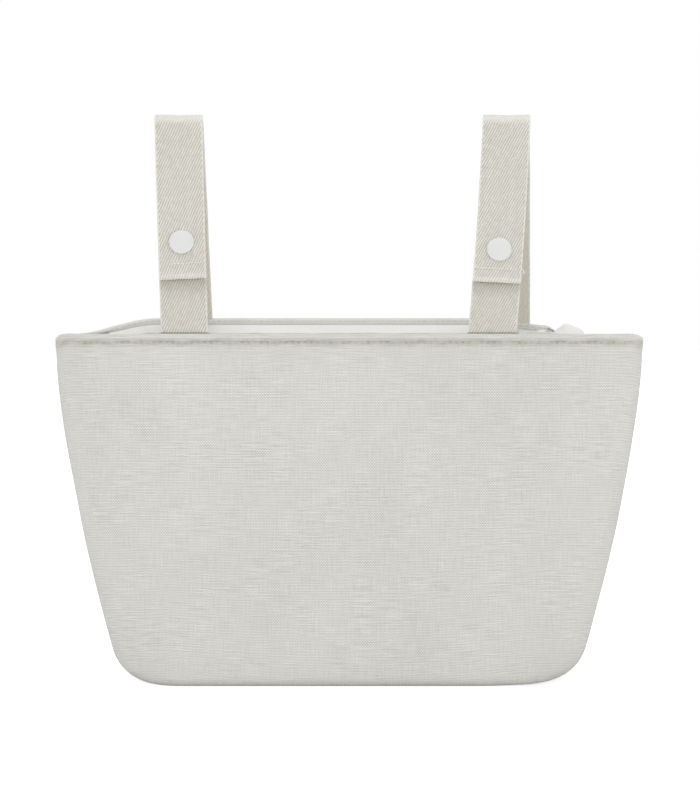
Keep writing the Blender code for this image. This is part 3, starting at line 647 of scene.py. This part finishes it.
def puff(column, side, z, place, hand):
    """How far the wadding pushes the wall out or the stitches pull it in."""
    below = BODY_HEIGHT - z
    tight = (1 + 0.30 * noise.noise((place * hand * 90, side * 3.0, 7.0))
             + 0.35 * noise.noise((place * hand * 260, side * 5.0, 2.0)))
    deep = smooth_step(below, HEM_FROM, HEM_TO)
    ends = smooth_step(abs(place - SIDE_PLACE), 0.03, 0.10)
    hem = hem_swell(column, side) * (1 - deep)
    groove = -GROOVE * (0.45 + 0.55 * ends) * tight * deep * (1 - smooth_step(below, 0.0054, 0.024))
    waves = np.array([0.00062 * noise.noise((place * hand * 16, h * 15, side * 4.0))
                      + 0.00030 * noise.noise((place * hand * 42, h * 34, side * 9.0)) for h in z])
    waves *= smooth_step(below, 0.006, 0.03) * smooth_step(z, 0.004, 0.05)
    return hem + groove + waves


def shell_column(column, side, place_share, inset, lower, upper, over, layer=1.0):
    """Points of one column from the bottom seam up: base, foot, wall, and what goes over the rim."""
    out = plan(column, side, 0.0)[2]
    radius = LONG_FOOT_RADIUS + (SIDE_FOOT_RADIUS - LONG_FOOT_RADIUS) * out[0] ** 2
    start = radius * (1 - math.sin(tilt(column, side, radius)))
    lean = tilt(column, side, start)
    x, y, _ = plan(column, side, start)
    centre = np.array((x - out[0] * radius * math.cos(lean), y - out[1] * radius * math.cos(lean)))
    seam = np.array((SEAM_HALF * (1 - 2 * place_share), side * GAP / 2))
    rows = []
    for share in np.linspace(0, 1, BASE_ROWS + 1)[:-1] ** 0.6:
        flat = seam + (centre - seam) * share
        rise = 0.0006 * math.exp(-(abs(flat[1]) / 0.002) ** 2) if layer == 1.0 else 0.0
        rows.append((*flat, inset + rise))
    for i in range(FOOT_ROWS):
        angle = math.pi / 2 + (lean - math.pi / 2) * i / FOOT_ROWS
        flat = centre + np.array(out) * (radius - inset) * math.cos(angle)
        rows.append((*flat, radius - (radius - inset) * math.sin(angle)))
    hand = column[1] if column[0] != "panel" else (1 if column[2] < 0.5 else -1)
    place = ring_place(column, side)
    z = np.concatenate([np.linspace(start, BODY_HEIGHT - 0.020, lower, endpoint=False), upper])
    push = puff(column, side, z, place, hand) * layer
    if column[0] == "side":
        push -= 0.0009 * np.exp(-(plan(column, side, z)[1] / 0.0014) ** 2) * smooth_step(z, 0.01, 0.04) * layer
    middle = wall(column, side, z, inset - push)
    points = np.concatenate([rows, middle] + ([over(column, side)] if over else []))
    end = smooth_step(points[:, 0], 0.078, 0.128) * (1 - smooth_step(points[:, 2], 0.015, 0.075))
    points[:, 2] += RIGHT_FOOT_LIFT * end
    points[:, 2] -= sunk(place, hand > 0) * smooth_step(points[:, 2], SINK_FROM, BODY_HEIGHT - 0.004)
    return points


def roll_and_hem(column, side):
    """Over the rim and down inside to the edge of the hem."""
    points = []
    square = 1 - (1 - ROLL_SQUARE) * plan(column, side, 0.0)[2][1] ** 2
    for angle in np.radians(np.linspace(12, 168, 13)):
        across = math.copysign(abs(math.cos(angle)) ** square, math.cos(angle))
        rise = ROLL_RADIUS * math.sin(angle) ** square
        swell = hem_swell(column, side) * (0.5 + 0.5 * across)
        points.append(wall(column, side, ROLL_BASE + rise, ROLL_RADIUS * (1 - across) - swell))
    for z in np.linspace(ROLL_BASE, HEM_EDGE, 8):
        pinch = 0.0003 * math.exp(-((BODY_HEIGHT - z - INNER_STITCH_DROP) / 0.0007) ** 2)
        points.append(wall(column, side, z, WALL_THICKNESS - pinch))
    return np.array(points)


def shell_grid(side, columns, inset, lower, upper, over=None, layer=1.0):
    return np.stack([shell_column(column, side, i / (len(columns) - 1), inset, lower, upper, over, layer)
                     for i, column in enumerate(columns)], axis=1)


def build_tub():
    """Outer canvas, wadding and lining of each half, with their topstitching."""
    upper = np.concatenate([np.linspace(BODY_HEIGHT - 0.020, BODY_HEIGHT - 0.0075, 9, endpoint=False),
                            np.linspace(BODY_HEIGHT - 0.0075, ROLL_BASE, 12)])
    for hand, side in HALVES:
        columns = columns_of(9, 14, 130)
        middle = len(columns) // 2
        grid = shell_grid(side, columns, 0.0, WALL_ROWS, upper, roll_and_hem)
        on_roll = BASE_ROWS + FOOT_ROWS + WALL_ROWS + len(upper) + 5
        flat = flat_of(grid, middle, on_roll)
        piece = cloth_piece("outer_canvas_" + hand, grid, flat, OUTER_THICKNESS, (0, side, 0), OUTER,
                            "outer_%s_panel" % hand, 70)

        normal = grid_normals(grid, (0, side, 0))
        for label, place in (("outer", -RIM_STITCH_RUN), ("inner", INNER_STITCH_RUN)):
            row = int(np.argmin(np.abs(flat[:, middle, 1] - place)))
            stitches("rim_stitch_%s_%s" % (hand, label), grid[row, 3:-3], normal[row, 3:-3], middle=middle - 3)

        coarse = columns_of(3, 6, 36)
        crown = np.array([LINING_TOP, BODY_HEIGHT - 0.004])
        outside = shell_grid(side, coarse, PADDING_OUT + 0.0001, 16, crown, layer=0.9)
        inside = shell_grid(side, coarse, PADDING_OUT + PADDING_THICKNESS - 0.0001, 16, crown, layer=0.4)
        rings = np.concatenate([outside, inside[::-1]]).swapaxes(0, 1)
        name = "wadding_" + hand
        piece = new_object(name, mesh_of(name, rings.reshape(-1, 3), tube_faces(*rings.shape[:2])), WADDING,
                           ["padding_" + hand])

        fine = columns_of(4, 9, 70)
        grid = shell_grid(side, fine, LINING_OUT, 30, np.array([LINING_TOP - 0.006, LINING_TOP]), layer=0.4)
        for spot in np.ndindex(grid.shape[:2]):
            x, y, z = grid[spot]
            ease = smooth_step(z, 0.01, 0.04) * (1 - smooth_step(z, 0.17, 0.205))
            grid[spot][:2] *= 1 - 0.006 * ease * (0.5 + 0.5 * noise.noise((x * 30, y * 30, z * 22)))
        piece = cloth_piece("lining_lawn_" + hand, grid, flat_of(grid, grid.shape[1] // 2), LINING_THICKNESS,
                            (0, side, 0), LINING, "lining_" + hand)


def inner_depth(x, z, side, inset):
    """How far the tub reaches in Y from its middle, at a place along X and a height."""
    width, depth, radius = half_width(z) - inset, half_depth(z) - inset, corner_radius(z, side) - inset
    past = max(abs(x) - (width - radius), 0)
    return depth - radius + math.sqrt(max(radius ** 2 - past ** 2, 0))


def build_pocket():
    """Slip pocket on the back lining, gathered a little and sewn down in the middle."""
    columns, rows = 96, 20
    grid = np.zeros((rows + 1, columns + 1, 3))
    for j in range(columns + 1):
        share = j / columns
        x = POCKET_HALF_WIDTH * (2 * share - 1)
        lobe = math.sqrt(abs(math.sin(2 * math.pi * share)))
        for i in range(rows + 1):
            rise = i / rows
            z = POCKET_BOTTOM + POCKET_HEIGHT * rise
            ripple = 0.0004 * lobe * noise.noise((x * 70, z * 30, 3.0))
            away = 0.0012 + GAP + (POCKET_BULGE - 0.0012) * lobe * math.sqrt(rise) + ripple
            grid[i, j] = (x, inner_depth(x, z, BACK, WALL_THICKNESS) - away, z)
    piece = cloth_piece("pocket_lawn", grid, flat_of(grid), POCKET_THICKNESS, (0, -1, 0), LINING,
                        "inner_pocket")
    normal = grid_normals(grid, (0, -1, 0))
    stitches("pocket_stitch_top", grid[rows - 2], normal[rows - 2], 0.003)
    for label, j in (("left", 1), ("middle", columns // 2), ("right", columns - 1)):
        stitches("pocket_stitch_" + label, grid[:, j], normal[:, j], 0.003)


# Straps

BEND_CENTRE = Vector((0, BODY_HEIGHT + STRAP_RISE - STRAP_THICKNESS / 2 - STRAP_BEND))


def strap_root(side, below=0.0):
    z = BODY_HEIGHT - below
    return Vector((side * (half_depth(z) - WALL_THICKNESS - GAP - STRAP_THICKNESS / 2), z))


def leg_angle(side):
    offset = LEG_TO_STUB if side == FRONT else 0
    across = BEND_CENTRE - strap_root(side)
    swing = math.acos((offset - STRAP_BEND) / across.length)
    return math.atan2(across.y, across.x) - side * swing


def facing(angle):
    return Vector((math.cos(angle), math.sin(angle)))


def leg_point(height, depth=0.0):
    out = facing(leg_angle(FRONT))
    down = facing(leg_angle(FRONT) + math.pi / 2)
    start = BEND_CENTRE + out * STRAP_BEND
    along = (start.y - BODY_HEIGHT - height) / -down.y
    return start + down * along - out * depth


def strap_x(strap, side, z):
    share = max(0.0, (z - BODY_HEIGHT) / STRAP_RISE)
    foot = strap["near"] if side == FRONT else strap["far"]
    bow = strap["bow"] * math.sin(math.pi * share) if side == FRONT else 0.0
    return foot + (strap["top"] - foot) * share + bow


def even_path(points, spacing):
    """Points at an even spacing along a line."""
    points = np.array([tuple(point) for point in points])
    length = lengths(points)
    return at_lengths(np.linspace(0, length[-1], max(2, int(length[-1] / spacing) + 1)), length, points)


def webbing_piece(name, path, strap, material, replaces, slanted=None):
    """Flat webbing with rounded selvedges along a path of (y, z) points."""
    heading = unit(np.gradient(path, axis=0))
    half, thick, edge = STRAP_WIDTH / 2, STRAP_THICKNESS / 2, 0.0009
    outline = [(u, thick) for u in np.linspace(edge - half, half - edge, 15)]
    outline += [(half - edge + edge * math.cos(a), thick * math.sin(a)) for a in np.radians((55, 20, -20, -55))]
    outline += [(-u, -n) for u, n in outline]
    length = lengths(path)
    points, flat = [], []
    for i, (y, z) in enumerate(path):
        side = FRONT if y < 0 else BACK
        x = strap_x(strap, side, z)
        wobble = 0.00018 * noise.noise((length[i] * 45, strap["top"] * 50, side * 1.0))
        low, high = strap["wide"]
        wide = low + (high - low) * min(1.0, max(0.0, (z - BODY_HEIGHT) / STRAP_RISE))
        if slanted is None:
            wide *= 1 - 0.03 * smooth_step(z - BODY_HEIGHT, 0.030, 0.037)
        for u, n in outline:
            cup = 0.00012 * math.cos(u / half * math.pi)
            reach = n + cup + 0.0001 * noise.noise((u * 120, length[i] * 60, 5.0))
            lower = 0.0 if slanted is None else slanted(u, z, i)
            points.append((x + u * wide + wobble, y - heading[i, 1] * reach, z + heading[i, 0] * reach + lower))
            flat.append((1 - u if n > thick * 0.9 else u, length[i]))
    mesh = mesh_of(name, points, tube_faces(len(path), len(outline)), flat)
    places = mesh.uv_layers["flat"].data
    for face in mesh.polygons:
        corners = [places[k].uv for k in face.loop_indices]
        if max(place.x for place in corners) - min(place.x for place in corners) > half:
            for place in corners:
                place.x = abs(place.x - 1 if place.x > 0.5 else place.x)
    return new_object(name, mesh, material, replaces, 75)


def build_strap(hand, strap):
    back, front = leg_angle(BACK), leg_angle(FRONT)
    in_rim = half_depth(BODY_HEIGHT) - ROLL_RADIUS
    path = [Vector((in_rim, BODY_HEIGHT - 0.0055)), Vector((in_rim, BODY_HEIGHT - 0.0012))]
    bend = [BEND_CENTRE + facing(back + (front - back) * i / 24) * STRAP_BEND for i in range(25)]
    fold_radius = (STRAP_THICKNESS + GAP) / 2
    down = facing(front + math.pi / 2)
    fold_depth = fold_radius + STRAP_THICKNESS / 2
    leg_end = leg_point(strap["fold"]) - down * fold_depth
    lap = (strap["snap"] - strap["fold"]) / -down.y - SNAP_RING_RADIUS - LAP_TO_SNAP - fold_depth
    fold_centre = leg_end - facing(front) * fold_radius
    fold = [fold_centre + facing(front + math.pi * i / 12) * fold_radius for i in range(13)]
    line = even_path(path + bend + fold + [fold[-1] - down * lap], 0.0011)
    end_height = BODY_HEIGHT + strap["fold"]
    middle = BODY_HEIGHT + strap["snap"] - 0.009

    def slanted(u, z, i):
        share = smooth_step(z, middle, end_height) if i > len(line) / 2 else 0.0
        return -share * (strap["slant"] * u - 1.2 * u * u)

    webbing_piece("webbing_loop_" + hand, line, strap, WEBBING, ["strap_" + hand], slanted)
    top = leg_point(strap["snap"] + STUB_PAST_SNAP, LEG_TO_STUB)
    stub = even_path([top, strap_root(FRONT), strap_root(FRONT, STRAP_ROOT)], 0.0009)
    webbing_piece("webbing_stub_" + hand, stub, strap, STUB_WEBBING, ["strap_stub_" + hand])

    out = facing(front)
    surface = leg_point(strap["seam"]) + out * (STRAP_THICKNESS / 2)
    x = strap_x(strap, FRONT, BODY_HEIGHT + strap["seam"])
    run = np.array([(x + u, surface.x - out.x * 0.0003 * (u < strap["proud"]),
                     surface.y - strap["slant"] * u - out.y * 0.0003 * (u < strap["proud"]))
                    for u in np.linspace(-0.0140, 0.0140, 24)])
    stitches("strap_stitch_" + hand, run, np.array([(0, out.x, out.y)] * len(run)), 0.0026, 0.8, 0.00026, 0.9,
             material=PALE_THREAD)
    if strap["tail"]:
        t = np.linspace(0, 1, 14)
        curl = run[-1] + np.stack([0.0004 + 0.0016 * t, -0.0004 - 0.0006 * np.sin(t * 3),
                                   -0.0022 * t * t + 0.0006 * np.sin(t * 5)], axis=1)
        new_object("strap_thread_tail", mesh_of("strap_thread_tail", *tube(curl, THREAD_RADIUS)), PALE_THREAD)


def place_cap(name, profile, strap, depth, node):
    item = new_object(name, mesh_of(name, *lathe(profile)), CAP, [node], 40)
    out = facing(leg_angle(FRONT))
    centre, spot = leg_point(strap["snap"]), leg_point(strap["snap"], depth)
    item.rotation_euler = (math.atan2(-out.x, out.y), 0, 0)
    item.location = (strap_x(strap, FRONT, centre.y), spot.x, spot.y)


def build_snap(hand, strap):
    """Moulded caps in front and behind; the spring halves between the webbing are the solids'."""
    radius, height, bevel = 0.0075, 0.0021, 0.0007
    edge = [(radius - bevel + bevel * math.cos(a), 0.00045 + bevel * math.sin(a))
            for a in np.linspace(0, math.pi / 2, 7)]
    dome = [(edge[-1][0] * s, edge[-1][1] + (height - edge[-1][1]) * (1 - s ** 2)) for s in
            (0.94, 0.85, 0.72, 0.55, 0.36, 0.18)]
    profile = [(0, 0), (radius - 0.0004, 0), (radius, 0.0002)] + edge + dome + [(0, height)]
    place_cap("cap_front_" + hand, profile, strap, -(STRAP_THICKNESS / 2 + 0.0001), "snap_cap_" + hand)
    radius, height = 0.0065, 0.0013
    edge = [(radius - 0.0004 + 0.0004 * math.cos(a), -0.0004 - 0.0004 * math.sin(a))
            for a in np.linspace(0, math.pi / 2, 5)]
    dish = [(radius * s, -0.0008 - (height - 0.0008) * (1 - s ** 2)) for s in (0.8, 0.6, 0.4, 0.2)]
    profile = [(0, 0), (radius - 0.0002, 0)] + edge + dish + [(0, -height)]
    place_cap("cap_behind_" + hand, profile, strap, LEG_TO_STUB + STRAP_THICKNESS / 2 + 0.0001, "snap_back_" + hand)


# Zip panel

def facing_edge(x, z, side):
    """Edge of the facing against the wall, with a notch round each strap root sewn inside the front."""
    depth = inner_depth(x, z, side, WALL_THICKNESS + GAP)
    for strap in STRAPS.values() if side == FRONT else ():
        away = abs(x - strap["near"]) - STRAP_WIDTH / 2
        depth -= (STRAP_THICKNESS + GAP) * (1 - smooth_step(away, 0.0003, 0.0016))
    return depth


def build_facing(hand, side):
    """Canvas strip from the rim's hem down to the zip, folded under and topstitched at the zip."""
    start, end = COIL_LEFT_END - FACING_PAST_COIL - 0.006, COIL_RIGHT_END + FACING_PAST_COIL
    columns, rows = 210, 30
    level = ZIP_HEIGHT + TAPE_THICKNESS / 2 + GAP + FACING_THICKNESS
    high = BODY_HEIGHT - FACING_DROP
    grid = np.zeros((rows + 1, columns + 1, 3))
    for j in range(columns + 1):
        x = start + (end - start) * j / columns
        edge = facing_edge(x, high, side)
        drop = sunk(abs(x) if side == BACK else FRONT_PLACE - abs(x), x > 0)
        for i in range(rows + 1):
            share = 1 - (1 - i / rows) ** 1.7 if i > 2 else (0, 0.03, 0.09)[i]
            y = ZIP_OPENING / 2 + (edge - ZIP_OPENING / 2) * share
            rise = smooth_step(share, 0.10, 1.0) * 0.55 + share * 0.45
            z = level + (high - level) * rise - drop * share ** 1.5
            billow = 0.0006 * noise.noise((x * 38, y * 40, side * 2.0)) + 0.0004
            bend = math.sin(math.pi * min(1.0, share * 1.04)) * (1 if share > 0.12 else share / 0.12)
            lip = 0.0003 * math.exp(-((share - 0.03) / 0.03) ** 2)
            if side == FRONT:
                crest = FACING_CREST * (1 + 0.06 * noise.noise((x * 30, 4.0, 8.0)))
                crest *= 1 + 0.20 * math.exp(-((x - 0.106) / 0.013) ** 2)
                crest *= smooth_step(x, -0.145, -0.120) * (1 - smooth_step(x, 0.124, 0.137))
                lip += crest * math.exp(-((edge - y - 0.0022) / 0.0105) ** 2) * (1 if share < 1 else 0.1)
            grid[i, j] = (x, side * y, z + billow * bend + lip)
    piece = cloth_piece("facing_canvas_" + hand, grid, flat_of(grid), FACING_THICKNESS, (0, 0, 1), FACING,
                        "zip_facing_" + hand, 70)
    normal = grid_normals(grid, (0, 0, 1))
    stitches("facing_stitch_" + hand, grid[2], normal[2], 0.0032)


def build_zip_side(hand, side):
    """Tape and nylon coil of one side, with the coil wound round the tape's edge."""
    start, end = COIL_LEFT_END - TAPE_PAST_COIL, COIL_RIGHT_END + TAPE_PAST_COIL
    grid = np.array([[(x, side * y, ZIP_HEIGHT + TAPE_THICKNESS / 2) for x in np.linspace(start, end, 140)]
                     for y in (0.0029, 0.0034, 0.0045, 0.006, 0.008, 0.010, TAPE_OUTER - 0.0003, TAPE_OUTER)])
    piece = cloth_piece("zip_tape_cloth_" + hand, grid, flat_of(grid), TAPE_THICKNESS, (0, 0, 1), TAPE,
                        "zip_tape_" + hand)

    pitch, wire = 0.0013, 0.00027
    turns = int((COIL_RIGHT_END - COIL_LEFT_END - 0.001) / pitch)
    angle = np.linspace(0, 2 * math.pi * turns, turns * 14 + 1)
    shift = 0.0005 + (pitch / 2 if side == BACK else 0.0)
    head = 1 + 0.10 * np.cos(angle)
    path = np.stack([COIL_LEFT_END + shift + angle / (2 * math.pi) * pitch * 0.995,
                     side * (0.00175 - 0.00105 * np.cos(angle)), ZIP_HEIGHT + 0.00074 * head * np.sin(angle)], axis=1)
    name = "zip_coil_wound_" + hand
    new_object(name, mesh_of(name, *tube(path, wire, 5)), COIL, ["zip_coil_" + hand], 80)


def build_end_tab(hand, direction, start, profile, wave):
    """Cloth tab folded over the end of the zip; the profile gives its top over the zip."""
    over = ZIP_HEIGHT + TAPE_THICKNESS / 2 + GAP + FACING_THICKNESS + GAP + TAB_THICKNESS
    under = ZIP_HEIGHT - TAPE_THICKNESS / 2 - GAP
    keys = [(0, under), (0.5, under), (0.88, under), (1.0, (under + over) / 2 + profile[-1][1] / 2)]
    keys += [(share, over + rise) for share, rise in reversed(profile)]
    line = [np.array((start + TAB_LENGTH * share, height)) for share, height in keys]
    line = line[:1] + line + line[-1:]
    smooth = [0.5 * (2 * b + (c - a) * t + (2 * a - 5 * b + 4 * c - d) * t * t + (3 * b - a - 3 * c + d) * t ** 3)
              for a, b, c, d in zip(line, line[1:], line[2:], line[3:]) for t in np.linspace(0, 1, 7)[:-1]]
    smooth.append(line[-1])
    half = TAB_WIDTH / 2
    across = np.linspace(-half, half, 15)
    grid = np.zeros((len(smooth), len(across), 3))
    for i, (x, z) in enumerate(smooth):
        for j, y in enumerate(across):
            droop = max(0.0, z - over) * wave * abs(y / half) ** 2.2
            grid[i, j] = (direction * (x + 0.0004 * noise.noise((y * 120, z * 90, 1.0))), y, z - droop)
    piece = cloth_piece("end_tab_" + hand, grid, flat_of(grid), TAB_THICKNESS, (direction * 0.3, 0, 1), TAB,
                        "zip_end_tab_" + hand, 70)


def build_stops():
    """Pressed metal stops at both ends of the coil."""
    right, left = COIL_RIGHT_END + GAP + STOP_LENGTH / 2, COIL_LEFT_END - GAP - STOP_LENGTH / 2
    for name, node, x, y, width in (
            ("stop_top_front", "zip_top_stop_front", right, -0.0018, 0.0024),
            ("stop_top_back", "zip_top_stop_back", right, 0.0018, 0.0024),
            ("stop_bottom", "zip_bottom_stop", left, 0.0, 0.0060)):
        work = bmesh.new()
        bmesh.ops.create_cube(work, size=1)
        bmesh.ops.scale(work, vec=(STOP_LENGTH, width, STOP_HEIGHT), verts=work.verts)
        bmesh.ops.bevel(work, geom=list(work.edges), offset=0.0004, segments=3, affect="EDGES", profile=0.6)
        bmesh.ops.translate(work, vec=(x, y, ZIP_HEIGHT), verts=work.verts)
        mesh = bpy.data.meshes.new(name)
        work.to_mesh(mesh)
        work.free()
        new_object(name, mesh, PLATING, [node], 35)


def finish_solids():
    """The slider, its pull and the snaps' spring halves keep their solids, with softened edges."""
    for name in ("zip_slider", "zip_pull", "snap_socket_left", "snap_socket_right", "snap_stud_left",
                 "snap_stud_right"):
        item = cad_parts[name]
        item.data.materials.clear()
        item.data.materials.append(PLATING if name.startswith("zip") else NICKEL)
        bevel = item.modifiers.new("soft_edges", "BEVEL")
        bevel.width = 0.00016 if name.startswith("zip") else 0.0001
        bevel.segments = 2
        bevel.limit_method = "ANGLE"
        bevel.angle_limit = math.radians(40)


# Floor, lights and camera

LAMPS = (("overhead", (0.0, 0.2, 2.5), 0.15, (2.0, 1.6), 21), ("behind", (0.0, 2.2, 1.8), 0.20, (2.0, 0.8), 10),
         ("front", (0.0, -3.0, 0.75), 0.12, (2.6, 1.4), 23), ("left", (-2.2, -1.0, 0.7), 0.12, (1.2, 1.4), 14),
         ("right", (2.2, -1.0, 0.6), 0.12, (1.2, 1.4), 16))


def build_stage():
    """White floor: seen by the camera it is white with the bag's shadow on it."""
    mesh = mesh_of("floor", [(-6, -6, 0), (6, -6, 0), (6, 2.4, 0), (-6, 2.4, 0)], [(0, 1, 2, 3)])
    material = bpy.data.materials.new("floor_white")
    material.use_nodes = True
    material.node_tree.nodes.clear()
    wiring = Wiring(material.node_tree)
    plain = wiring.node("ShaderNodeBsdfDiffuse", {"Color": (0.92, 0.92, 0.91, 1)})
    soft = wiring.node("ShaderNodeBsdfDiffuse", {"Color": (0.60, 0.60, 0.60, 1)})
    glow = wiring.node("ShaderNodeEmission", {"Strength": 0.76})
    both = wiring.node("ShaderNodeAddShader", (soft.outputs[0], glow.outputs[0]))
    wiring.show("ShaderNodeOutputMaterial", plain, both)
    mesh.materials.append(material)
    into_scene("floor", mesh)


def build_light():
    """White all round to the eye, a dimmer fill on the bag, and five soft lamps."""
    world = bpy.data.worlds.new("studio")
    bpy.context.scene.world = world
    world.use_nodes = True
    world.node_tree.nodes.clear()
    wiring = Wiring(world.node_tree)
    fill = wiring.node("ShaderNodeBackground", {"Color": (1, 1, 1, 1), "Strength": 0.42})
    white = wiring.node("ShaderNodeBackground", {"Color": (1, 1, 1, 1), "Strength": 1.0})
    wiring.show("ShaderNodeOutputWorld", fill, white)
    for name, place, target_height, size, power in LAMPS:
        lamp = bpy.data.lights.new(name, "AREA")
        lamp.shape = "RECTANGLE"
        lamp.size, lamp.size_y = size
        lamp.energy = power
        item = into_scene(name, lamp)
        item.location = place
        item.rotation_euler = (Vector((0, 0, target_height)) - Vector(place)).to_track_quat("-Z", "Y").to_euler()


def build_camera():
    camera = bpy.data.cameras.new("camera")
    camera.lens = 187.5
    camera.sensor_width = 36
    camera.clip_start, camera.clip_end = 0.05, 60
    item = into_scene("camera", camera)
    item.location = (0.0004, -2.5575, 0.4111)
    item.rotation_euler = (math.radians(90 - 5.39), 0, 0)
    bpy.context.scene.camera = item
    bpy.context.scene.view_settings.view_transform = "Standard"


build_camera()
build_light()
build_stage()
build_tub()
build_pocket()
for hand, strap in STRAPS.items():
    build_strap(hand, strap)
    build_snap(hand, strap)
for hand, side in HALVES:
    build_facing(hand, side)
    build_zip_side(hand, side)
build_stops()
past_stop = GAP + STOP_LENGTH + GAP
build_end_tab("right", 1, COIL_RIGHT_END + past_stop,
              ((0.0, 0.0), (0.04, 0.0030), (0.18, 0.0050), (0.40, 0.0075), (0.64, 0.0060), (0.96, 0.0034)), 0.95)
build_end_tab("left", -1, past_stop - COIL_LEFT_END,
              ((0.0, 0.0), (0.2, 0.0001), (0.45, 0.0002), (0.7, 0.0002), (0.94, 0.0001)), 0.5)
finish_solids()
